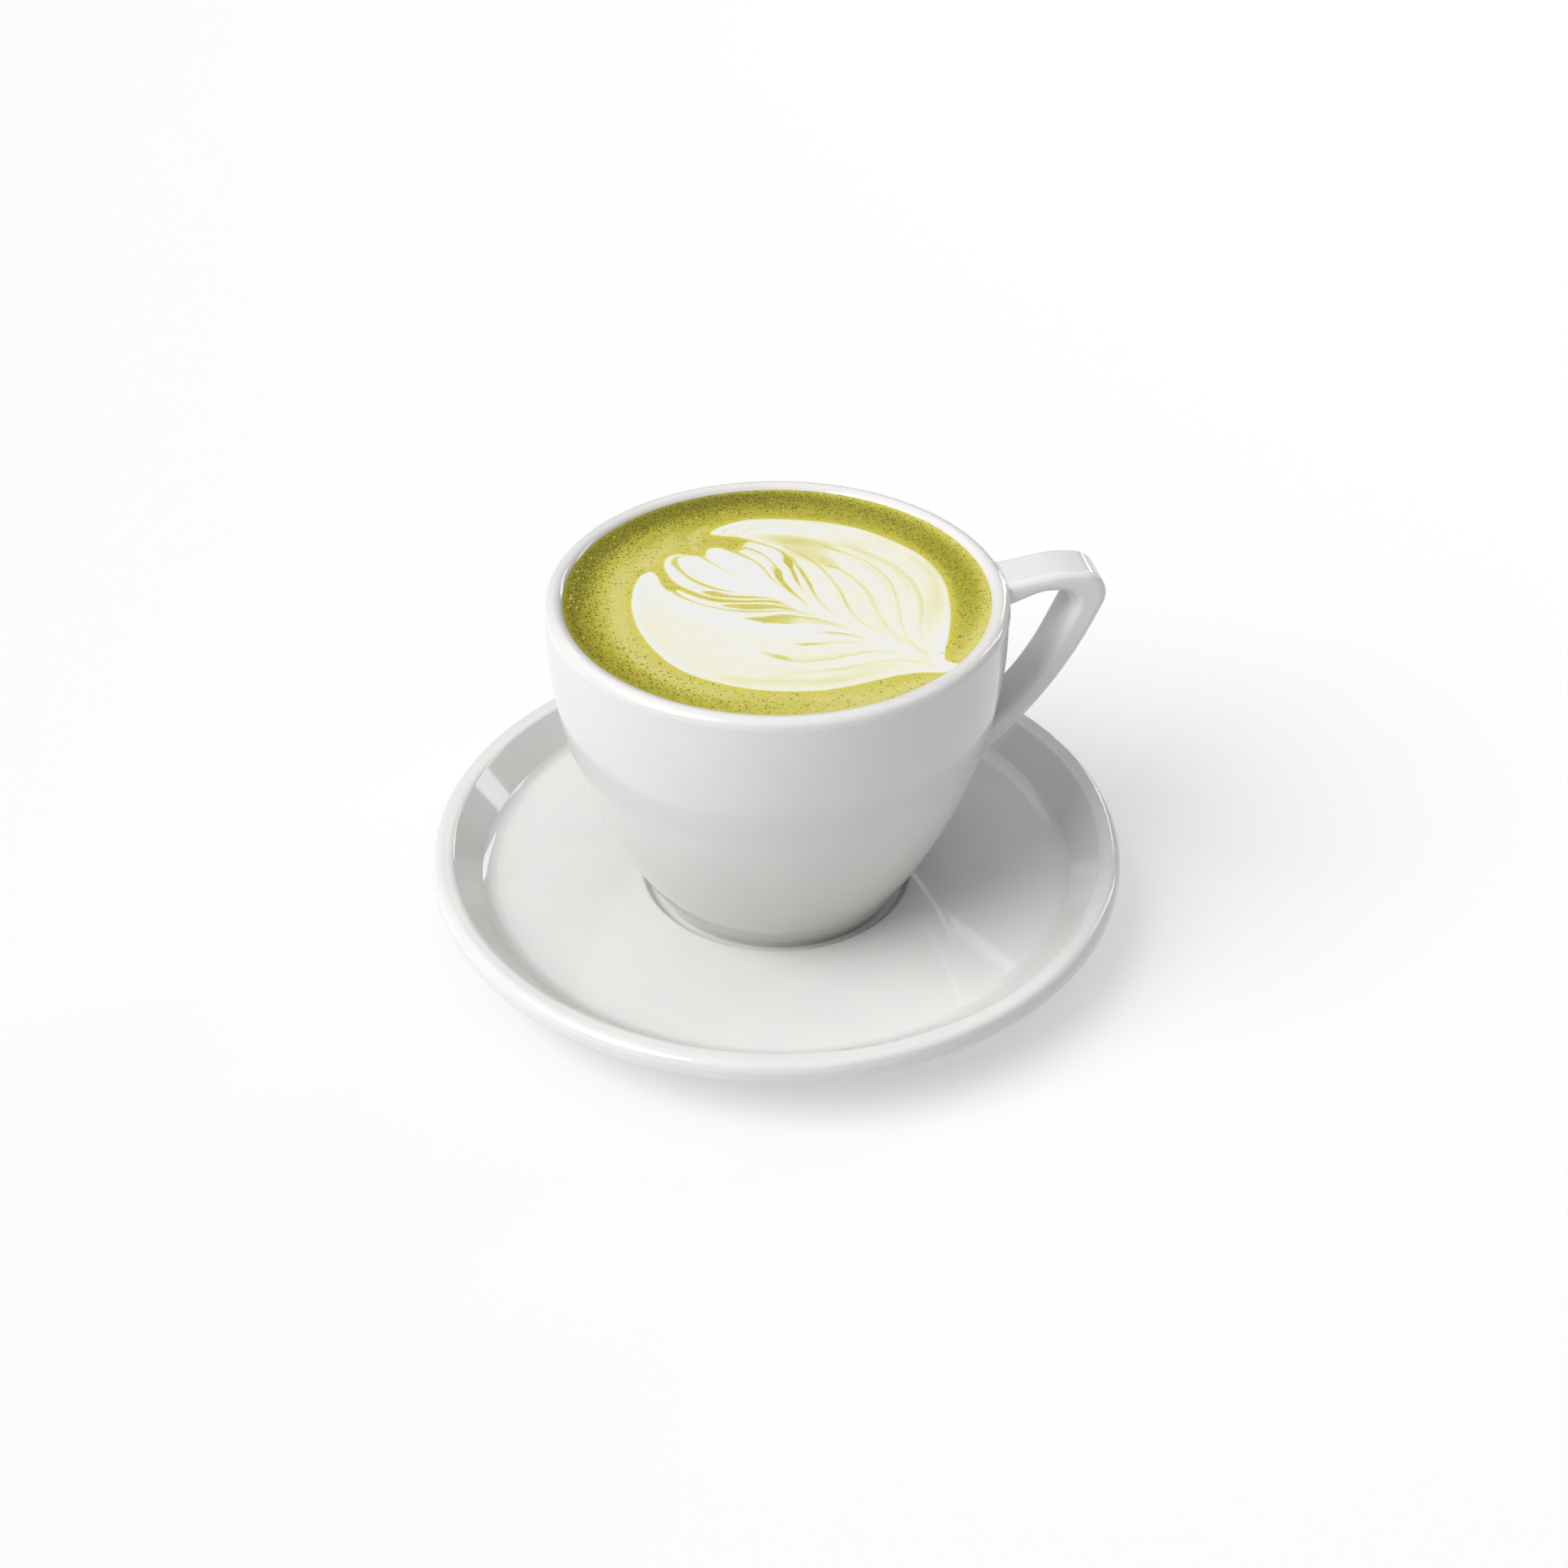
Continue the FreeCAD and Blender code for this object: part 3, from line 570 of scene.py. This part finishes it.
def milk_and_matcha_foam():
    """Whisked matcha under steamed milk foam, poured; the microfoam is soft and slightly wet.

    The eye gets a matte cream and green surface with a low sheen that turns glossy where it
    is wet at the wall, speckled with fine open bubbles that crowd there. The green carries
    painted shade at the left and back wall and painted light at the right wall, and the open
    bubbles' dark centres are partly painted shade.
    """
    settings = bpy.context.scene.latte_drink
    material, tree, shader = new_material("poured_milk_and_matcha_foam")
    where = add_node(tree, "ShaderNodeTexCoord").outputs["Object"]
    milk, tone_light_and_shade, froth, halo, wet = (
        add_node(tree, "ShaderNodeAttribute", attribute_name=name).outputs["Fac"]
        for name in POURED)

    # Foam this fine shows only as a soft mottle, so its grain is drawn at 1.6 mm.
    mottle = add_node(tree, "ShaderNodeTexNoise", {
        "Vector": where, "Scale": 1 / (1.6 * MM), "Detail": 4.0, "Roughness": 0.6})
    shift = add_node(tree, "ShaderNodeMapRange", {
        "Value": mottle.outputs["Fac"], "From Min": 0.3, "From Max": 0.7,
        "To Min": -0.10, "To Max": 0.10})
    grain = add_node(tree, "ShaderNodeTexNoise", {
        "Vector": where, "Scale": 1 / (0.42 * MM), "Detail": 2.0, "Roughness": 0.6})
    speck = add_node(tree, "ShaderNodeMapRange", {
        "Value": grain.outputs["Fac"], "From Min": 0.3, "From Max": 0.7,
        "To Min": -0.20, "To Max": 0.20})
    toned = add_node(tree, "ShaderNodeMath", {0: tone_light_and_shade, 1: shift.outputs["Result"]},
                     operation="ADD")
    mixed_tone = add_node(tree, "ShaderNodeMath", {
        0: toned.outputs["Value"], 1: speck.outputs["Result"]}, operation="ADD", use_clamp=True)
    green = add_node(tree, "ShaderNodeValToRGB", {"Fac": mixed_tone.outputs["Value"]}, stops=(
        (0.0, settings.pale), (0.22, settings.matcha), (0.55, settings.shade),
        (1.0, settings.soaked_and_shaded)))
    rim = add_node(tree, "ShaderNodeMix", {
        "Factor": halo, "A": green.outputs["Color"], "B": (*settings.bright, 1)},
        data_type="RGBA")
    milky = add_node(tree, "ShaderNodeValToRGB", {"Fac": milk}, stops=(
        (0.0, settings.bright), (0.35, settings.tinted), (0.62, settings.cream),
        (0.82, settings.ivory), (1.0, settings.milk)))
    into = add_node(tree, "ShaderNodeMapRange", {
        "Value": milk, "From Min": 0.05, "From Max": 0.30})
    foam = add_node(tree, "ShaderNodeMix", {
        "Factor": into.outputs["Result"], "A": rim.outputs["Result"],
        "B": milky.outputs["Color"]}, data_type="RGBA")

    # Open bubbles up to 0.6 and 0.8 mm across, in cells 0.85 and 1.3 mm wide; their dark colour is
    # partly painted shade in the holes and partly the darker matcha under them.
    pits = 0.0
    for cell, largest in ((0.85, 0.36), (1.3, 0.30)):
        cells = add_node(tree, "ShaderNodeTexVoronoi", {
            "Vector": where, "Scale": 1 / (cell * MM), "Randomness": 1.0},
            feature="F1", voronoi_dimensions="2D")
        pick = add_node(tree, "ShaderNodeSeparateColor", {"Color": cells.outputs["Color"]})
        wanted = add_node(tree, "ShaderNodeMath", {0: froth, 1: pick.outputs["Red"]},
                          operation="GREATER_THAN")
        size = add_node(tree, "ShaderNodeMath", {
            0: pick.outputs["Green"], 1: 0.6 * largest, 2: 0.4 * largest},
            operation="MULTIPLY_ADD")
        share = add_node(tree, "ShaderNodeMath", {
            0: cells.outputs["Distance"], 1: size.outputs["Value"]}, operation="DIVIDE")
        pit_shade = add_node(tree, "ShaderNodeMapRange", {
            "Value": share.outputs["Value"], "From Min": 0.55, "To Min": 1.0, "To Max": 0.0})
        kept = add_node(tree, "ShaderNodeMath", {
            0: pit_shade.outputs["Result"], 1: wanted.outputs["Value"]}, operation="MULTIPLY")
        pits = add_node(tree, "ShaderNodeMath", {0: pits, 1: kept.outputs["Value"]},
                        operation="MAXIMUM").outputs["Value"]
    open_part = add_node(tree, "ShaderNodeMapRange", {
        "Value": milk, "From Min": 0.1, "From Max": 0.6, "To Min": 1.0, "To Max": 0.12})
    pitted = add_node(tree, "ShaderNodeMath", {0: pits, 1: open_part.outputs["Result"]},
                      operation="MULTIPLY")
    # The pits' painted shade is deeper where the froth is thicker.
    depth = add_node(tree, "ShaderNodeMath", {0: froth, 1: 0.5, 2: 0.4},
                     operation="MULTIPLY_ADD")
    faded = add_node(tree, "ShaderNodeMath", {
        0: pitted.outputs["Value"], 1: depth.outputs["Value"]}, operation="MULTIPLY")
    colour = add_node(tree, "ShaderNodeMix", {
        "Factor": faded.outputs["Value"], "A": foam.outputs["Result"],
        "B": (*settings.pit_shade, 1)}, data_type="RGBA")
    tree.links.new(colour.outputs["Result"], shader.inputs["Base Color"])

    fine = add_node(tree, "ShaderNodeTexNoise", {
        "Vector": where, "Scale": 1 / (0.5 * MM), "Detail": 3.0, "Roughness": 0.6})
    height = add_node(tree, "ShaderNodeMath", {
        0: fine.outputs["Fac"], 1: pitted.outputs["Value"]}, operation="SUBTRACT")
    relief = add_node(tree, "ShaderNodeBump", {
        "Height": height.outputs["Value"], "Strength": 0.6, "Distance": 0.12 * MM})
    tree.links.new(relief.outputs["Normal"], shader.inputs["Normal"])
    dry = add_node(tree, "ShaderNodeMapRange", {"Value": milk, "To Min": 0.34, "To Max": 0.50})
    rough = add_node(tree, "ShaderNodeMath", {0: wet, 1: -0.24, 2: dry.outputs["Result"]},
                     operation="MULTIPLY_ADD")
    tree.links.new(rough.outputs["Value"], shader.inputs["Roughness"])
    shader.inputs["IOR"].default_value = 1.36          # milk and water
    return material


def bubble_film():
    """Thin film of wet matcha foam, blown up from below; it catches a small bright glint."""
    settings = bpy.context.scene.latte_drink
    material, tree, shader = new_material("wet_matcha_bubble_film")
    where = add_node(tree, "ShaderNodeTexCoord").outputs["Object"]
    swirl = add_node(tree, "ShaderNodeTexNoise", {"Vector": where, "Scale": 1 / (2.5 * MM)})
    tint = add_node(tree, "ShaderNodeValToRGB", {"Fac": swirl.outputs["Fac"]}, stops=(
        (0.35, settings.film), (0.65, settings.thin_film)))
    tree.links.new(tint.outputs["Color"], shader.inputs["Base Color"])
    shader.inputs["Roughness"].default_value = 0.10
    shader.inputs["IOR"].default_value = 1.36
    return material


# ---------------------------------------------------------------- pieces

def folded_grid(rings):
    """Points of a square grid folded onto a disc's rings, in mm, and the points along a side."""
    side = np.arange(-len(rings) + 1, len(rings))
    reach = np.array(rings)
    u, v = np.meshgrid(side, side)
    upright = np.abs(v) > np.abs(u)
    big, small = np.where(upright, v, u), np.where(upright, u, v)
    turn = (math.pi / 4) * small / np.where(big == 0, 1, big)
    r = np.sign(big) * reach[np.abs(big)]
    x = np.where(upright, r * np.sin(turn), r * np.cos(turn))
    y = np.where(upright, r * np.cos(turn), r * np.sin(turn))
    return np.column_stack([x.ravel(), y.ravel()]), len(side)


def cavity_profile(node):
    """Radius of the drink's CAD solid at each height, in mm."""
    points = np.array([tuple(v.co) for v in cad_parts[node].data.vertices]) / MM
    reach = np.hypot(points[:, 0], points[:, 1])
    widest = {}
    for height, r in zip(np.round(points[:, 2], 2), reach):
        widest[height] = max(r, widest.get(height, 0))
    heights = sorted(h for h, r in widest.items() if r > 5)
    return np.array(heights), np.array([widest[h] for h in heights])


# The drink's surface, in mm: how far it goes into the wall, the rings of points beside the wall,
# how fast it climbs there, and how high the milk stands above the matcha.
INTO_WALL = 0.12
WALL_INSETS = (1.9, 1.55, 1.22, 0.92, 0.66, 0.44, 0.27, 0.13, 0)
CLIMB = 0.75
MILK_STANDS = 0.05
# The drink's side: how far it goes into the wall, in mm, and its rings as shares of the depth.
INTO_SIDE = 0.08
SIDE_SHARES = (0.03, 0.12, 0.3, 0.55, 0.78, 0.93, 1.0)


class LATTE_OT_glaze(bpy.types.Operator):
    """Glaze the cup and the saucer, and leave their feet bare"""
    bl_idname = "latte.glaze"
    bl_label = "Glaze cup and saucer"

    def execute(self, context):
        for name in ("cup", "saucer"):
            low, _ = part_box(name)
            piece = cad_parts[name]
            glaze = glazed_porcelain("glazed_porcelain_" + name, low[2])
            if not piece.material_slots:
                raise RuntimeError(name + " has no material slot to glaze")
            for slot in piece.material_slots:
                slot.material = glaze
        return {"FINISHED"}


def close_below(points, faces, rim, heights, radii):
    """Close the drink's surface with its side and its bottom, just outside the cup's wall."""
    level, bottom = heights[-1], heights[0]
    ring = list(rim)
    for share in SIDE_SHARES:
        height = level + (bottom - level) * share
        width = float(np.interp(height, heights, radii)) + INTO_SIDE
        start = len(points)
        for index in rim:
            x, y, _ = points[index]
            scale = width / math.hypot(x, y)
            points.append((x * scale, y * scale, height))
        below = list(range(start, start + len(rim)))
        for i in range(len(rim)):
            j = (i + 1) % len(rim)
            faces.append((ring[j], ring[i], below[i], below[j]))
        ring = below
    centre = len(points)
    points.append((0.0, 0.0, bottom))
    faces += [(ring[(i + 1) % len(ring)], ring[i], centre) for i in range(len(ring))]


class LATTE_OT_pour(bpy.types.Operator):
    """Pour the drink, with its rosetta, up to the cup's wall"""
    bl_idname = "latte.pour"
    bl_label = "Pour drink"

    def execute(self, context):
        settings = context.scene.latte_drink
        heights, radii = cavity_profile("drink")
        if len(heights) < 3:
            raise RuntimeError("the drink's solid has no profile to follow")
        level = heights[-1]
        radius = radii[-1] + INTO_WALL
        wall = [radius - inset for inset in WALL_INSETS]
        inner = wall[0] - settings.pitch / 2
        rings = [r for r in np.arange(0, radius, settings.pitch) if r < inner] + wall
        spots, wide = folded_grid(rings)
        turn = settings.art_turn
        art = np.column_stack([                        # spots in the rosetta's own frame
            spots[:, 0] * math.cos(turn) + spots[:, 1] * math.sin(turn),
            spots[:, 1] * math.cos(turn) - spots[:, 0] * math.sin(turn)])
        milk, depth = pour_pattern(art)
        tone_light_and_shade, froth, halo = shade_foam(art, depth)
        reach = np.hypot(spots[:, 0], spots[:, 1])
        wet = smooth_step(radius - 2.4, radius - 0.9, reach)
        climb = np.exp(-(radius - reach) / CLIMB)
        z = level - settings.meniscus * (1 - climb) + MILK_STANDS * milk
        z = np.where(reach > radius - 0.01, level, z)
        points = list(map(tuple, np.column_stack([spots, z])))

        number = np.arange(wide * wide).reshape(wide, wide)
        faces = np.stack([number[:-1, :-1], number[:-1, 1:], number[1:, 1:], number[1:, :-1]],
                         axis=-1).reshape(-1, 4).tolist()
        rim = np.concatenate([number[0, :-1], number[:-1, -1], number[-1, :0:-1],
                              number[:0:-1, 0]])
        close_below(points, faces, rim, heights, radii)

        piece = new_piece("poured_drink", [(x * MM, y * MM, z * MM) for x, y, z in points],
                          faces, milk_and_matcha_foam())
        unseen = np.zeros(len(points) - len(milk))
        for name, values in zip(POURED, (milk, tone_light_and_shade, froth, halo, wet)):
            layer = piece.data.attributes.new(name, "FLOAT", "POINT")
            layer.data.foreach_set("value", np.concatenate([values, unseen]).astype(np.float32))
        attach(piece, "root")
        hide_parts("drink")
        return {"FINISHED"}


def blow_bubble(points, faces, x, y, z, size, rounds=3, sides=12, flat=0.75):
    """Add one closed dome, a little flatter than half a ball."""
    start = len(points)
    for ring in range(rounds):
        tilt = math.radians(8 + 82 * (1 - ring / (rounds - 0.3)))
        for side in range(sides):
            spin = math.tau * side / sides
            points.append((x + size * math.sin(tilt) * math.cos(spin),
                           y + size * math.sin(tilt) * math.sin(spin),
                           z + size * flat * math.cos(tilt)))
    points.append((x, y, z + size * flat))
    for ring in range(rounds - 1):
        for side in range(sides):
            a, b = start + ring * sides + side, start + ring * sides + (side + 1) % sides
            faces.append((a, b, b + sides, a + sides))
    last, top = start + (rounds - 1) * sides, start + rounds * sides
    faces += [(last + s, last + (s + 1) % sides, top) for s in range(sides)]
    faces.append(tuple(start + s for s in reversed(range(sides))))


class LATTE_OT_froth(bpy.types.Operator):
    """Blow the small bubbles that stand on the drink near the wall"""
    bl_idname = "latte.froth"
    bl_label = "Blow bubbles"

    def execute(self, context):
        settings = context.scene.latte_drink
        heights, radii = cavity_profile("drink")
        level, edge = heights[-1] - settings.meniscus, radii[-1]
        chance = np.random.default_rng(BUBBLE_SEED)
        points, faces = [], []
        for middle, spread, inset, scatter, count in BUBBLES:
            for _ in range(count):
                angle = math.radians(chance.normal(middle, spread / 2)) + settings.art_turn
                reach = min(edge - 0.9, edge - abs(chance.normal(inset, scatter / 2)))
                size = 0.12 + 0.30 * chance.random() ** 3
                rise = settings.meniscus * math.exp(-(edge - reach) / CLIMB)
                blow_bubble(points, faces, reach * math.cos(angle), reach * math.sin(angle),
                            level + rise, size)
        piece = new_piece("foam_bubbles", [(x * MM, y * MM, z * MM) for x, y, z in points],
                          faces, bubble_film())
        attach(piece, "root")
        return {"FINISHED"}


def add_sun(name, strength, spread, azimuth, height):
    """A far, soft disc of light, from a turn round the cup and a height above the floor."""
    light = bpy.data.lights.new(name, "SUN")
    light.energy = strength
    light.angle = spread
    sun = bpy.data.objects.new(name, light)
    sun.rotation_euler = (math.radians(90 - height), 0, math.radians(azimuth))
    bpy.context.scene.collection.objects.link(sun)
    return sun


def add_panel(name, power, width, height, place, target):
    """A flat light panel that faces the target."""
    light = bpy.data.lights.new(name, "AREA")
    light.shape = "RECTANGLE"
    light.energy, light.size, light.size_y = power, width, height
    panel = bpy.data.objects.new(name, light)
    panel.location = place
    panel.rotation_euler = (Vector(target) - Vector(place)).to_track_quat("-Z", "Y").to_euler()
    bpy.context.scene.collection.objects.link(panel)
    return panel


# Where the tall windows stand, in metres; they are the bright panes that the glaze mirrors.
WINDOWS = ((1.02, 0.50, 0.52), (0.78, 0.94, 0.44))
WINDOW_WIDTH, WINDOW_HEIGHT = 0.14, 0.60
SAUCER_LEVEL = (0, 0, 0.05)
FLOOR_REACH = 6.0                                      # metres each way
# The camera's distance from the cup's axis and its height, in metres, and its aim in degrees.
CAMERA_OUT, CAMERA_UP = 0.3957, 0.32107
CAMERA_PAN, CAMERA_TILT, CAMERA_ROLL = 0.226, 53.663, 0.259


def backlit_acrylic():
    """Cast acrylic sheet, sanded matte and lit softly from below.

    The eye gets a plain white floor without gloss, on which shadows stay pale.
    """
    settings = bpy.context.scene.latte_stage
    material, tree, shader = new_material("backlit_matte_acrylic")
    where = add_node(tree, "ShaderNodeTexCoord").outputs["Object"]
    tooth = add_node(tree, "ShaderNodeTexNoise", {"Vector": where, "Scale": 1 / (0.6 * MM)})
    relief = add_node(tree, "ShaderNodeBump", {
        "Height": tooth.outputs["Fac"], "Strength": 0.1, "Distance": 0.05 * MM})
    tree.links.new(relief.outputs["Normal"], shader.inputs["Normal"])
    shader.inputs["Base Color"].default_value = (*settings.floor, 1)
    shader.inputs["Emission Color"].default_value = (1, 1, 1, 1)
    shader.inputs["Emission Strength"].default_value = settings.glow
    shader.inputs["Roughness"].default_value = 0.9
    shader.inputs["Specular IOR Level"].default_value = 0.1
    return material


class LATTE_OT_stage(bpy.types.Operator):
    """Lay the pale floor, hang the soft lights and set the camera"""
    bl_idname = "latte.stage"
    bl_label = "Set stage"

    def execute(self, context):
        settings = context.scene.latte_stage
        scene = context.scene
        drop = -0.05 * MM
        corners = [(x * FLOOR_REACH, y * FLOOR_REACH, drop)
                   for x, y in ((-1, -1), (1, -1), (1, 1), (-1, 1))]
        floor = new_piece("acrylic_floor", corners, [(0, 1, 2, 3)], backlit_acrylic())

        world = bpy.data.worlds.new("studio")
        world.use_nodes = True
        scene.world = world
        sky = world.node_tree.nodes["Background"]
        sky.inputs["Color"].default_value = (1, 1, 1, 1)
        sky.inputs["Strength"].default_value = settings.sky
        add_sun("key", settings.key, settings.key_spread, -74, 45)
        add_sun("top", settings.back, settings.back_spread, -75, 82)
        for place in WINDOWS:
            add_panel("window", settings.window, WINDOW_WIDTH, WINDOW_HEIGHT, place,
                      SAUCER_LEVEL)
        scene.view_settings.view_transform = "Standard"

        lens = bpy.data.cameras.new("camera")
        lens.lens = settings.lens
        lens.sensor_width = 36
        lens.clip_start = 0.01
        camera = bpy.data.objects.new("camera", lens)
        camera.location = (CAMERA_OUT * math.sin(settings.azimuth),
                           -CAMERA_OUT * math.cos(settings.azimuth), CAMERA_UP)
        camera.rotation_euler = (
            Matrix.Rotation(settings.azimuth - math.radians(CAMERA_PAN), 3, "Z")
            @ Matrix.Rotation(math.radians(CAMERA_TILT), 3, "X")
            @ Matrix.Rotation(math.radians(CAMERA_ROLL), 3, "Z")).to_euler()
        scene.collection.objects.link(camera)
        scene.camera = camera
        return {"FINISHED"}


STEPS = (LATTE_OT_stage, LATTE_OT_glaze, LATTE_OT_pour, LATTE_OT_froth)


class VIEW3D_PT_latte(bpy.types.Panel):
    """Sizes, colours and steps of the matcha latte"""
    bl_label = "Matcha latte"
    bl_space_type = "VIEW_3D"
    bl_region_type = "UI"
    bl_category = "Matcha latte"

    def draw(self, context):
        for name in SETTINGS:
            group = getattr(context.scene, name)
            column = self.layout.box().column()
            for setting in group.bl_rna.properties:
                if setting.identifier not in ("rna_type", "name"):
                    column.prop(group, setting.identifier)
        for step in STEPS:
            self.layout.operator(step.bl_idname)


CLASSES = (*SETTINGS.values(), *STEPS, VIEW3D_PT_latte)


def register():
    for each in CLASSES:
        bpy.utils.register_class(each)
    for name, group in SETTINGS.items():
        setattr(bpy.types.Scene, name, bpy.props.PointerProperty(type=group))


def unregister():
    for name in SETTINGS:
        delattr(bpy.types.Scene, name)
    for each in reversed(CLASSES):
        bpy.utils.unregister_class(each)


def main():
    register()
    bpy.ops.latte.stage()
    bpy.ops.latte.glaze()
    bpy.ops.latte.pour()
    bpy.ops.latte.froth()


if __name__ == "__main__":
    main()
